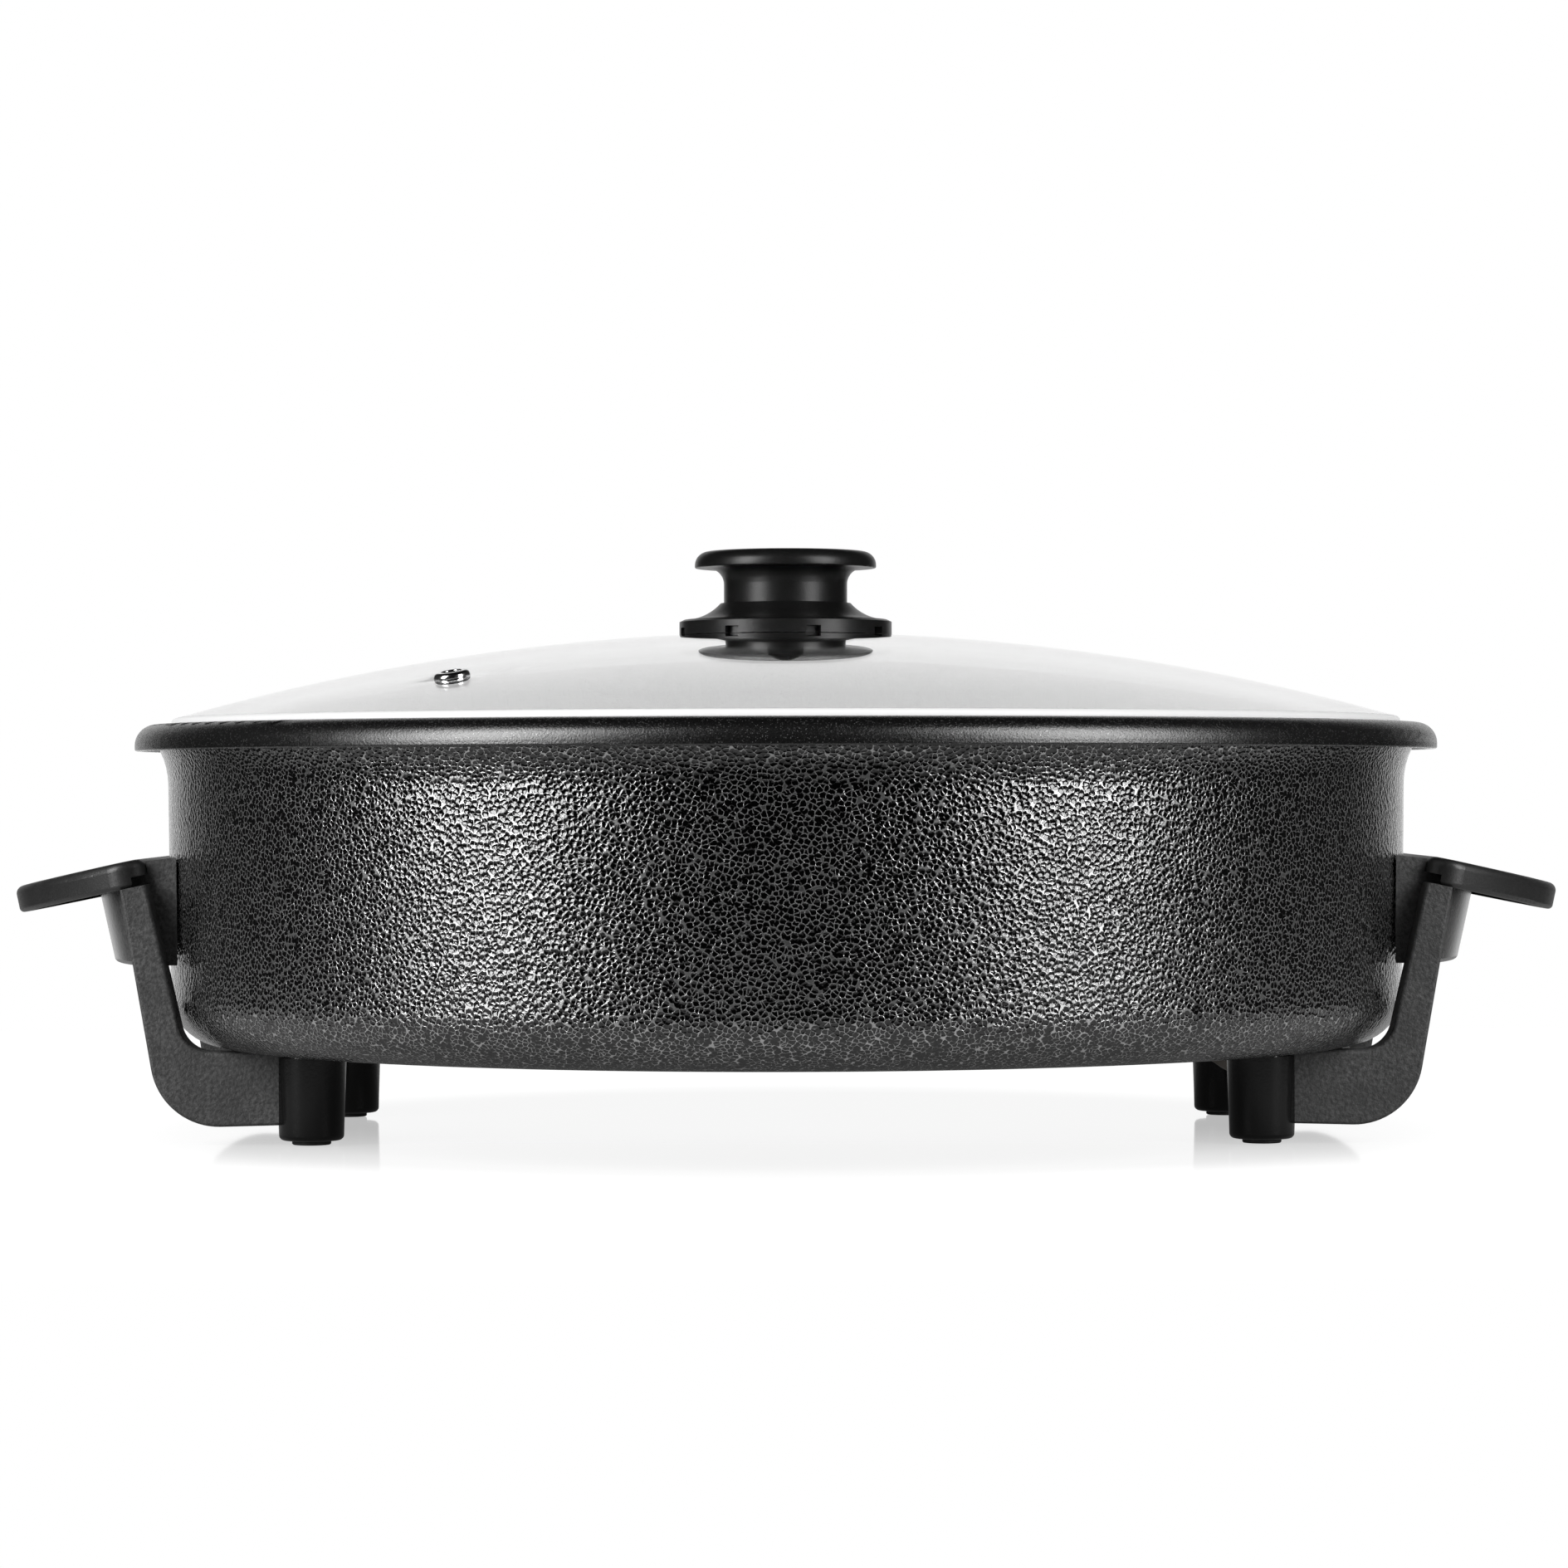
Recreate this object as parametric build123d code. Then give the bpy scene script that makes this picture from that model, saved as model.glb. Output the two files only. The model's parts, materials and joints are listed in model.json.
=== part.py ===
from build123d import *
import math
import os

# Electric pizza pan: a deep round cast pan on two handle brackets, under a loose glass lid.
# Millimetres, +Z up. The origin is on the table, under the middle of the pan.
# The front is -Y, and the socket for the plug-in thermostat is on the +X side.

# Glass lid, whose radius sets the size of the pan round it
lid_radius = 188.9
lid_edge_clearance = 1.5
lid_seat_clearance = 0.3
glass_thickness = 4.0
glass_edge_radius = 1.6
dome_radius = 680.0
touch_gap = 0.05

# Pan casting
rim_land = 9.6
rim_overhang = 10.1
rim_top = 125.3
rim_lip_height = 8.2
rim_shoulder_radius = 6.3
rim_top_fall = 0.1
rim_lip_thickness = 2.0
rim_recess_depth = 3.5
rim_edge_radius = 0.8
wall_thickness = 4.0
wall_draft = 0.6
wall_flare_height = 10.0
wall_flare_width = 2.4
base_height = 28.0
base_thickness = 6.0
corner_radius = 15.0
inner_corner_radius = 12.0
seat_width = 5.0
seat_depth = 2.95

# Steam vent in the lid
vent_inset = 43.0
vent_angle = -131.0
vent_bore_radius = 2.8
vent_tube_radius = 3.8
vent_hole_clearance = 0.3
vent_flange_radius = 5.3
vent_flange_height = 1.7
vent_flange_edge = 1.4
vent_mouth_edge = 0.4
vent_crimp_radius = 5.0
vent_crimp_height = 0.7
vent_gasket_height = 0.6
vent_gasket_inset = 0.3

# Lid knob
knob_disc_radius = 28.1
knob_disc_height = 5.1
knob_disc_edge = 4.2
knob_disc_lower_edge = 0.4
knob_neck_radius = 19.1
knob_neck_height = 10.9
knob_neck_fillet = 5.0
knob_flare_top_radius = 20.2
knob_flare_bottom_radius = 31.4
knob_flare_height = 5.1
knob_flare_sag_share = 0.21
knob_skirt_radius = 32.9
knob_skirt_height = 4.7
knob_skirt_edge = 0.7
knob_skirt_wall = 2.6
knob_shell = 3.0
knob_boss_radius = 9.5
knob_spigot_radius = 6.6
knob_spigot_length = 5.0
knob_fit = 0.15
knob_notches = 8
knob_notch_width = 4.6
knob_notch_height = 2.1
knob_notch_angle = 15.0
knob_insert_radius = 4.2
knob_insert_length = 12.0
knob_screw_radius = 2.5
knob_screw_bite = 9.0
knob_screw_head_radius = 5.6
knob_screw_head_height = 2.5
knob_screw_slot_width = 1.2
knob_screw_slot_depth = 1.0
knob_seal_height = 0.8
knob_seal_wall = 1.6

# Feet, pads and the screws that hold the brackets
foot_inset = 48.7
foot_y = 60.7
foot_top_radius = 10.4
foot_bottom_radius = 9.6
foot_edge = 1.6
pad_radius = 5.8
pad_height = 1.3
pad_edge = 0.3
pad_stem_length = 5.0
pad_stem_clearance = 0.2
counterbore_radius = 5.0
foot_shelf = 12.0
boss_radius = 8.0
boss_height = 2.0
bracket_screw_radius = 2.5
bracket_screw_bite = 4.5
bracket_screw_head_radius = 4.2
bracket_screw_head_height = 3.2
hex_share = 0.55
washer_radius = 4.7
washer_height = 1.0
thread_clearance = 0.1
screw_hole_clearance = 0.3

# Handle brackets
arm_thickness = 11.0
arm_width = 10.9
arm_outer_lean = 9.8
arm_inner_lean = 12.9
arm_bottom = 5.1
arm_foot_rise = 1.1
arm_base_gap = 0.3
arm_boss_gap = 0.4
arm_foot_inset = 4.6
arm_outer_corner = 20.5
arm_inner_corner = 9.5
arm_edge = 1.0
guard_reach = 16.6
guard_bulge = 12.5
guard_bottom = 53.0
guard_lean = 12.5
guard_wall = 3.0
guard_gap = 0.8
guard_edge = 1.5
guard_top_drop = 1.1
guard_top_slope = 7.0

# Grips
grip_gap = 1.6
grip_top = 85.2
grip_slope = 12.0
grip_half_width = 69.0
grip_depth = 47.5
grip_thickness = 8.0
grip_skin = 5.0
grip_skirt = 3.0
grip_corner = 7.0
grip_upper_edge = 2.4
grip_lower_edge = 1.4
grip_step_gap = 0.2
grip_screw_spacing = 56.0
grip_screw_inset = 9.0
grip_screw_radius = 1.6
grip_screw_bite = 3.6
grip_screw_head_radius = 3.1
grip_screw_head_height = 2.0

# Heating element under the base
element_radius = 3.3
element_sink = 1.0
element_turn_radius = 15.0
element_straight = 14.2
element_drop_angle = 40.0
element_tail = 6.0
element_set_back = 2.0
element_clearance = 0.25
rib_width = 12.0
rib_depth = 3.4
groove_runout = 12.0

# Socket for the plug-in thermostat
socket_drop = 7.5
terminal_half_spacing = 19.0
terminal_radius = 2.4
terminal_root_radius = 1.6
terminal_length = 18.0
terminal_tip = 0.6
insulator_radius = 4.2
insulator_length = 6.0
insulator_clearance = 0.25
probe_bore_radius = 3.6
probe_block_wall = 3.0
probe_block_half_width = 8.0
probe_block_back = 12.0
probe_block_front = 16.0
socket_inset = 39.9
socket_length = 26.0
socket_half_width = 30.0
socket_depth = 16.0
socket_wall = 2.0
socket_corner = 4.0
socket_clearance = 0.4
ear_length = 14.0
ear_reach = 12.0
ear_screw_radius = 2.0
ear_screw_bite = 4.5
ear_screw_head_radius = 3.6
ear_screw_head_height = 2.2

# How far a cut runs past the face that it opens
overrun = 20.0

# Radii, places and heights worked out from the sizes above
rim_inner_radius = lid_radius + lid_edge_clearance
rim_radius = rim_inner_radius + rim_land
wall_radius = rim_radius - rim_overhang
vent_distance = lid_radius - vent_inset
foot_x = wall_radius - foot_inset
guard_plate_x = wall_radius - socket_inset
element_end = guard_plate_x - element_set_back
element_bend_end = element_end - element_tail
probe_block_start = guard_plate_x - probe_block_back
probe_block_end = guard_plate_x + probe_block_front
rim_bottom = rim_top - rim_lip_height
seat_z = rim_top - seat_depth
seat_inner_radius = rim_inner_radius - seat_width
floor_z = base_height + base_thickness
dome_center = seat_z + lid_seat_clearance - math.sqrt((dome_radius - glass_thickness) ** 2 - lid_radius**2)
dome_top = dome_center + dome_radius
column_top = base_height - boss_height
counterbore_top = column_top - foot_shelf
arm_top = base_height - arm_base_gap
element_z = base_height - element_sink
socket_z = base_height - socket_drop
grip_inner_x = wall_radius + grip_gap

FROM_BELOW = (Align.CENTER, Align.CENTER, Align.MIN)
FROM_END = (Align.MIN, Align.CENTER, Align.CENTER)


def at(radius, height):
    """A point of a half-section in the XZ plane."""
    return Vector(radius, 0, height)


def chain(*points):
    """Straight edges through the given points."""
    return Polyline(*points).edges()


def spin(edges):
    """Turns a closed half-section round the Z axis."""
    return revolve(make_face(edges), axis=Axis.Z)


def disc(radius, bottom, top):
    """An upright cylinder between two heights."""
    return Pos(0, 0, bottom) * Cylinder(radius, top - bottom, align=FROM_BELOW)


def ring(outer, inner, bottom, top):
    """An upright washer between two heights."""
    return disc(outer, bottom, top) - disc(inner, bottom - overrun, top + overrun)


def rod(radius, start, end):
    """A cylinder along +X between two places."""
    return Pos(start, 0, 0) * Rot(0, 90, 0) * Cylinder(radius, end - start, align=FROM_BELOW)


def dome_height(radius):
    """Height of the lid's outer face at a distance from its middle."""
    return dome_center + math.sqrt(dome_radius**2 - radius**2)


def wall_outer(height):
    """Outer radius of the drafted wall at a height below the flare."""
    return wall_radius - (rim_bottom - wall_flare_height - height) * math.tan(math.radians(wall_draft))


def foot_places():
    """The middles of the right bracket's two feet."""
    return [(foot_x, foot_y), (foot_x, -foot_y)]


def both_sides(shape):
    """The shape on the right and its twin on the left, turned round half a turn."""
    return shape, Rot(0, 0, 180) * shape


# Pan casting
def outer_wall():
    """Edges of the pan's outside, from the middle of the base to the rim's underside."""
    lean = math.radians(wall_draft)
    corner_z = base_height + corner_radius - corner_radius * math.sin(lean)
    corner_x = wall_outer(corner_z) - corner_radius * math.cos(lean)
    start = at(corner_x, base_height)
    foot = at(wall_outer(corner_z), corner_z)
    flare_foot = at(wall_radius, rim_bottom - wall_flare_height)
    flare_top = at(wall_radius + wall_flare_width, rim_bottom)
    return [
        Line(at(0, base_height), start),
        TangentArc(start, foot, tangent=(1, 0, 0)),
        Line(foot, flare_foot),
        TangentArc(flare_foot, flare_top, tangent=(math.sin(lean), 0, math.cos(lean))),
    ]


def rim_outline():
    """Edges of the down-turned rim, from the recess under it over the top to the lid's seat."""
    flare_top = at(wall_radius + wall_flare_width, rim_bottom)
    recess_top = rim_bottom + rim_recess_depth
    recess_in = at(wall_radius + wall_flare_width + rim_edge_radius, recess_top)
    recess_out = at(rim_radius - rim_lip_thickness - rim_edge_radius, recess_top)
    lip_in = at(rim_radius - rim_lip_thickness, rim_bottom)
    lip_out = at(rim_radius - rim_edge_radius, rim_bottom)
    side_low = at(rim_radius, rim_bottom + rim_edge_radius)
    shoulder_z = rim_top - rim_top_fall - rim_shoulder_radius
    side_high = at(rim_radius, shoulder_z)
    top_out = side_high + at(-rim_shoulder_radius, rim_shoulder_radius)
    top_in = at(rim_inner_radius + rim_edge_radius, rim_top)
    inner_high = at(rim_inner_radius, rim_top - rim_edge_radius)
    inner_low = at(rim_inner_radius, seat_z)
    return [
        *chain(flare_top, recess_in, recess_out, lip_in, lip_out),
        TangentArc(lip_out, side_low, tangent=(1, 0, 0)),
        Line(side_low, side_high),
        TangentArc(side_high, top_out, tangent=(0, 0, 1)),
        Line(top_out, top_in),
        TangentArc(top_in, inner_high, tangent=(-1, 0, 0)),
        Line(inner_high, inner_low),
        Line(inner_low, at(seat_inner_radius, seat_z)),
    ]


def inner_wall():
    """Edges of the pan's inside, from the lid's seat to the middle of the floor."""
    corner_z = floor_z + inner_corner_radius
    inner_foot = wall_outer(corner_z) - wall_thickness
    foot = at(inner_foot, corner_z)
    floor_edge = at(inner_foot - inner_corner_radius, floor_z)
    return [
        Line(at(seat_inner_radius, seat_z), foot),
        TangentArc(foot, floor_edge, tangent=(0, 0, -1)),
        Line(floor_edge, at(0, floor_z)),
        Line(at(0, floor_z), at(0, base_height)),
    ]


def drop_run():
    """Length along X that the element's ends take to come down to the socket."""
    angle = math.radians(element_drop_angle)
    bend = (element_z - socket_z) / (2 * (1 - math.cos(angle)))
    return 2 * bend * math.sin(angle)


def turn_center():
    """Place of the upper bend's centre, which leaves the element's straight end its length."""
    center_x = element_bend_end - drop_run() - element_straight
    return center_x, terminal_half_spacing + element_turn_radius


def ring_radius():
    """Radius of the element's ring, which the bends lead into."""
    return math.hypot(*turn_center()) - element_turn_radius


def element_turn(side):
    """Ends of the bend that leads a straight end of the element into its ring, with the bend's middle."""
    center_x, center_y = turn_center()
    center = Vector(center_x, side * center_y, element_z)
    on_line = Vector(center_x, side * terminal_half_spacing, element_z)
    ring_share = ring_radius() / math.hypot(center_x, center_y)
    on_ring = Vector(center_x * ring_share, side * center_y * ring_share, element_z)
    middle = center + ((on_line + on_ring) * 0.5 - center).normalized() * element_turn_radius
    return on_line, middle, on_ring


def element_ring_edges():
    """The level part of the element's line: its ring and the two bends."""
    upper_line, upper_middle, upper_ring = element_turn(1)
    lower_line, lower_middle, lower_ring = element_turn(-1)
    far_side = Vector(-ring_radius(), 0, element_z)
    return [
        ThreePointArc(upper_line, upper_middle, upper_ring),
        ThreePointArc(upper_ring, far_side, lower_ring),
        ThreePointArc(lower_ring, lower_middle, lower_line),
    ]


def element_end_edges(side):
    """One end of the element, from the level bend down to its terminal."""
    run = drop_run()
    y = side * terminal_half_spacing
    bend_start = element_bend_end - run
    level = Vector(bend_start, y, element_z)
    halfway = Vector(element_bend_end - run / 2, y, (element_z + socket_z) / 2)
    low = Vector(element_bend_end, y, socket_z)
    return [
        Line(element_turn(side)[0], level),
        TangentArc(level, halfway, tangent=(1, 0, 0)),
        TangentArc(low, halfway, tangent=(-1, 0, 0)),
        Line(low, Vector(element_end, y, socket_z)),
    ]


def level_path(reach):
    """The element's level line, with its straight ends run out to a place along X."""
    edges = element_ring_edges()
    for side in (1, -1):
        start = element_turn(side)[0]
        edges.append(Line(start, Vector(reach, start.Y, element_z)))
    return Wire(edges)


def swept(path, profile):
    """Carries a profile, drawn in the YZ plane about the line, along the path."""
    start = path @ 0
    direction = path % 0
    plane = Plane(origin=start, x_dir=(0, 0, 1), z_dir=direction)
    return sweep(plane * profile, path=path)


def pan_body():
    """The cast pan with the element's rib, the bosses for the feet and the block for the probe."""
    pan = spin(outer_wall() + rim_outline() + inner_wall())
    bend_start = element_bend_end - drop_run()
    # Seen along the line, the profile's X is up.
    rib_height = rib_depth + base_thickness / 2
    rib_middle = element_sink + base_thickness / 2 - rib_height / 2
    rib = Pos(rib_middle, 0) * Rectangle(rib_height, rib_width)
    pan += swept(level_path(bend_start), rib)
    block_bottom = socket_z - probe_bore_radius - probe_block_wall
    block_length = probe_block_end - probe_block_start
    block_height = base_height - block_bottom + base_thickness / 2
    block_align = (Align.MIN, Align.CENTER, Align.MIN)
    block = Box(block_length, 2 * probe_block_half_width, block_height, align=block_align)
    pan += Pos(probe_block_start, 0, block_bottom) * block
    for x, y in foot_places() + [(-x, y) for x, y in foot_places()]:
        pan += Pos(x, y) * disc(boss_radius, column_top, base_height + base_thickness / 2)
        thread = bracket_screw_radius + thread_clearance
        pan -= Pos(x, y) * disc(thread, column_top - overrun, base_height + bracket_screw_bite)
    groove_radius = element_radius + element_clearance
    groove = Circle(groove_radius)
    groove += Pos(-overrun / 2, 0) * Rectangle(overrun, 2 * groove_radius)
    pan -= swept(level_path(bend_start + groove_runout), groove)
    bore_end = probe_block_end + overrun
    pan -= Pos(0, 0, socket_z) * rod(probe_bore_radius, probe_block_start - overrun, bore_end)
    for x, y in ear_screw_places():
        thread = ear_screw_radius + thread_clearance
        pan -= Pos(x, y) * disc(thread, base_height - overrun, base_height + ear_screw_bite)
    return pan


# Heating element and socket
def heating_element():
    """The sheathed element, bent from one length of tube."""
    upper = element_end_edges(1)
    lower = element_end_edges(-1)
    path = Wire(upper + element_ring_edges() + lower)
    return swept(path, Circle(element_radius))


def terminal_pins():
    """The two contact pins at the element's ends, with a thinner root inside the bead."""
    root_end = element_end + insulator_length
    pin = rod(terminal_radius, root_end, root_end + terminal_length)
    pin = chamfer(pin.edges().sort_by(Axis.X)[-1], terminal_tip)
    pin += rod(terminal_root_radius, element_end, root_end)
    return [Pos(0, side * terminal_half_spacing, socket_z) * pin for side in (1, -1)]


def terminal_insulators():
    """The two ceramic beads round the contact pins."""
    bead = rod(insulator_radius, element_end, element_end + insulator_length)
    bore = terminal_root_radius + thread_clearance
    bead -= rod(bore, element_end - overrun, element_end + insulator_length + overrun)
    return [Pos(0, side * terminal_half_spacing, socket_z) * bead for side in (1, -1)]


def ear_screw_places():
    """The middles of the two screws that hold the socket's guard."""
    x = guard_plate_x + socket_length / 2
    y = socket_half_width + ear_reach / 2
    return [(x, y), (x, -y)]


def socket_guard():
    """The metal guard round the pins, open towards the plug, with an ear on each side."""
    outline = Rectangle(2 * socket_half_width, socket_depth)
    inside = Rectangle(2 * (socket_half_width - socket_wall), socket_depth - 2 * socket_wall)
    outline = fillet(outline.vertices(), socket_corner)
    inside = fillet(inside.vertices(), socket_corner - socket_wall)
    face = Plane(origin=(guard_plate_x, 0, base_height - socket_depth / 2), x_dir=(0, 1, 0), z_dir=(1, 0, 0))
    guard = extrude(face * outline, socket_length)
    guard -= extrude(face.offset(socket_wall) * inside, socket_length)
    ear_width = 2 * (socket_half_width + ear_reach)
    ears = Box(ear_length, ear_width, socket_wall, align=(Align.CENTER, Align.CENTER, Align.MAX))
    ears = fillet(ears.edges().filter_by(Axis.Z), socket_corner)
    guard += Pos(guard_plate_x + socket_length / 2, 0, base_height) * ears
    for x, y in ear_screw_places():
        hole = ear_screw_radius + screw_hole_clearance
        guard -= Pos(x, y) * disc(hole, base_height - socket_depth, base_height + overrun)
    for side in (1, -1):
        hole = rod(insulator_radius + insulator_clearance, guard_plate_x - overrun, guard_plate_x + overrun)
        guard -= Pos(0, side * terminal_half_spacing, socket_z) * hole
    slot_height = base_height - socket_z + probe_bore_radius + probe_block_wall + socket_clearance
    slot_width = 2 * (probe_block_half_width + socket_clearance)
    slot_length = probe_block_end - guard_plate_x + socket_clearance + overrun
    slot = Box(slot_length, slot_width, slot_height + overrun, align=FROM_END)
    slot_middle = base_height - slot_height + (slot_height + overrun) / 2
    guard -= Pos(guard_plate_x - overrun, 0, slot_middle) * slot
    return guard


def headed_screw(radius, length, head_radius, head_height):
    """An upright screw with its head below the origin, and a hexagon socket in the head."""
    screw = disc(radius, 0, length) + disc(head_radius, -head_height, 0)
    crown = screw.edges().filter_by(GeomType.CIRCLE).sort_by(Axis.Z)[0]
    screw = fillet(crown, head_height / 4)
    key = extrude(RegularPolygon(hex_share * head_radius, 6), head_height / 2)
    return screw - Pos(0, 0, -head_height) * key


def socket_screws():
    """The two screws through the guard's ears into the base."""
    length = socket_wall + ear_screw_bite - thread_clearance
    screw = headed_screw(ear_screw_radius, length, ear_screw_head_radius, ear_screw_head_height)
    return [Pos(x, y, base_height - socket_wall) * screw for x, y in ear_screw_places()]


# Handle brackets and grips
def grip_plane():
    """The grip's sloping top: X runs down the slope, Y along the width and Z out of the top."""
    slope = math.radians(grip_slope)
    down = (math.cos(slope), 0, -math.sin(slope))
    normal = (math.sin(slope), 0, math.cos(slope))
    return Plane(origin=(grip_inner_x, 0, grip_top), x_dir=down, z_dir=normal)


def arm():
    """One L-shaped arm in the plane y = 0, run up past the grip."""
    outer_lean = math.tan(math.radians(arm_outer_lean))
    inner_lean = math.tan(math.radians(arm_inner_lean))
    outer_x = wall_radius - arm_foot_inset
    inner_x = outer_x + (arm_top - arm_bottom) * outer_lean - arm_width
    top = grip_top + overrun
    outer_top = at(outer_x + (top - arm_bottom) * outer_lean, top)
    inner_top = at(inner_x + (top - arm_top) * inner_lean, top)
    bottom_corner = at(outer_x, arm_bottom)
    inner_corner = at(inner_x, arm_top)
    ends = (at(foot_x, arm_bottom + arm_foot_rise), at(foot_x, arm_top))
    outline = make_face(chain(ends[0], bottom_corner, outer_top, inner_top, inner_corner, ends[1], ends[0]))
    outline = fillet(outline.vertices().sort_by_distance(bottom_corner)[0], arm_outer_corner)
    outline = fillet(outline.vertices().sort_by_distance(inner_corner)[0], arm_inner_corner)
    bar = extrude(outline, arm_thickness / 2, dir=(0, 1, 0), both=True)
    sides = bar.faces().sort_by(Axis.Y)
    return fillet(sides[0].edges() + sides[-1].edges(), arm_edge)


def guard_outline(inset):
    """Plan of the guard between grip and pan, drawn in from its outside by a wall."""
    half_width = foot_y - arm_thickness / 2 + guard_wall / 2 - inset
    tip_x = wall_radius + guard_reach - inset
    side_x = tip_x - guard_bulge
    bulge = ThreePointArc((side_x, -half_width), (tip_x, 0), (side_x, half_width))
    back = chain((side_x, half_width), (foot_x, half_width), (foot_x, -half_width), (side_x, -half_width))
    return make_face([bulge] + back)


def leaning_block(outline, bottom, top):
    """Pulls a plan up along the guard's lean between two heights."""
    lean = math.radians(guard_lean)
    height = top - bottom
    direction = Vector(math.sin(lean), 0, math.cos(lean))
    foot = Pos((bottom - guard_bottom) * math.tan(lean), 0, bottom) * outline
    return extrude(foot, height / math.cos(lean), dir=direction)


def pan_space():
    """The room that the guard leaves for the pan's wall."""
    lean = math.radians(wall_draft)
    low = guard_bottom - overrun
    high = rim_bottom
    low_radius = wall_outer(low) + guard_gap
    high_radius = low_radius + (high - low) * math.tan(lean)
    return Pos(0, 0, low) * Cone(low_radius, high_radius, high - low, align=FROM_BELOW)


def slope_cut(plane, start, depth):
    """Everything above a level of the sloping plane, from a place along its X axis outwards."""
    size = 2 * grip_half_width
    block = Box(2 * size, 2 * size, size, align=(Align.MIN, Align.CENTER, Align.MIN))
    return plane * Pos(start, 0, -depth) * block


def guard():
    """The hollow guard, open below and towards the pan, with its top stepped down under the grip."""
    plane = grip_plane()
    top = grip_top + overrun
    lid_slope = math.radians(guard_top_slope)
    level = Plane(
        origin=(grip_inner_x, 0, grip_top - guard_top_drop),
        x_dir=(math.cos(lid_slope), 0, -math.sin(lid_slope)),
        z_dir=(math.sin(lid_slope), 0, math.cos(lid_slope)),
    )
    far = -grip_half_width
    outside = leaning_block(guard_outline(0), guard_bottom, top)
    outside = fillet(outside.faces().sort_by(Axis.Z)[0].edges(), guard_edge)
    outside -= slope_cut(level, far, 0)
    outside -= slope_cut(plane, -grip_step_gap, grip_skin)
    inside = leaning_block(guard_outline(guard_wall), guard_bottom - overrun, top)
    inside -= slope_cut(level, far, guard_wall)
    inside -= slope_cut(plane, -grip_step_gap - guard_wall, grip_skin + guard_wall)
    return outside - inside - pan_space()


def grip_screw_places():
    """The grip's two screws, on its sloping plane."""
    return [(grip_screw_inset, side * grip_screw_spacing / 2) for side in (1, -1)]


def right_bracket():
    """The moulded bracket: two arms with feet, and the guard between them."""
    plane = grip_plane()
    bar = arm() - slope_cut(plane, -grip_half_width, grip_thickness)
    bracket = guard()
    for x, y in foot_places():
        height = column_top - pad_height
        foot = Pos(x, y, pad_height) * Cone(foot_bottom_radius, foot_top_radius, height, align=FROM_BELOW)
        bracket += Pos(0, y, 0) * bar
        bracket += fillet(foot.edges().sort_by(Axis.Z)[0], foot_edge)
    for x, y in foot_places():
        bracket -= Pos(x, y) * disc(counterbore_radius, pad_height - overrun, counterbore_top)
        hole = bracket_screw_radius + screw_hole_clearance
        bracket -= Pos(x, y) * disc(hole, pad_height, column_top)
        bracket -= Pos(x, y) * disc(boss_radius + arm_boss_gap, column_top, base_height)
    for x, y in grip_screw_places():
        hole = disc(grip_screw_radius + screw_hole_clearance, -grip_skin - guard_wall - overrun, overrun)
        bracket -= plane * Pos(x, y) * hole
    return bracket


def grip_outline(inset):
    """The D of the grip, drawn in from its outside by a wall."""
    half_width = grip_half_width - inset
    depth = grip_depth - inset
    bow = ThreePointArc((0, -half_width), (depth, 0), (0, half_width))
    return make_face([bow, Line((0, half_width), (0, -half_width))])


def right_grip():
    """The hollow grip that caps the bracket."""
    outline = grip_outline(0)
    outline = fillet(outline.vertices(), grip_corner)
    block = extrude(outline, -grip_thickness)
    block = fillet(block.faces().sort_by(Axis.Z)[-1].edges(), grip_upper_edge)
    block = fillet(block.faces().sort_by(Axis.Z)[0].edges(), grip_lower_edge)
    hollow = extrude(grip_outline(grip_skirt), -grip_thickness)
    hollow += Pos(-grip_half_width / 2, 0, -grip_thickness / 2) * Box(
        grip_half_width, 2 * (grip_half_width - grip_skirt), grip_thickness
    )
    block -= Pos(0, 0, -grip_skin) * hollow
    for x, y in grip_screw_places():
        hole = disc(grip_screw_radius + thread_clearance, -grip_skin - overrun, -grip_skin + grip_screw_bite)
        block -= Pos(x, y) * hole
    return grip_plane() * block


def grip_screws():
    """The screws up through both guards' tops into the grips."""
    length = guard_wall + grip_screw_bite - thread_clearance
    screw = headed_screw(grip_screw_radius, length, grip_screw_head_radius, grip_screw_head_height)
    placed = []
    for x, y in grip_screw_places():
        placed += both_sides(grip_plane() * Pos(x, y, -grip_skin - guard_wall) * screw)
    return placed


def all_feet(shape):
    """Copies a shape that stands on the Z axis to all four feet."""
    placed = []
    for x, y in foot_places():
        placed += both_sides(Pos(x, y) * shape)
    return placed


def bracket_screws():
    """The four screws up through the feet into the base."""
    seat = counterbore_top - washer_height
    length = base_height + bracket_screw_bite - thread_clearance - seat
    screw = headed_screw(bracket_screw_radius, length, bracket_screw_head_radius, bracket_screw_head_height)
    return all_feet(Pos(0, 0, seat) * screw)


def bracket_washers():
    """The four washers between the screws' heads and the feet."""
    hole = bracket_screw_radius + thread_clearance
    return all_feet(ring(washer_radius, hole, counterbore_top - washer_height, counterbore_top))


def foot_pad():
    """A rubber pad whose stem plugs the foot's screw hole."""
    stem_radius = counterbore_radius - pad_stem_clearance
    pad = disc(pad_radius, 0, pad_height)
    pad = chamfer(pad.edges().sort_by(Axis.Z)[0], pad_edge)
    return pad + disc(stem_radius, 0, pad_height + pad_stem_length)


# Lid
def vent_plane():
    """The vent's place on the dome, with Z out of the glass."""
    turn = math.radians(vent_angle)
    x = vent_distance * math.cos(turn)
    y = vent_distance * math.sin(turn)
    place = Vector(x, y, dome_height(vent_distance))
    return Plane(origin=place, x_dir=(-y, x, 0), z_dir=place - Vector(0, 0, dome_center))


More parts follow.
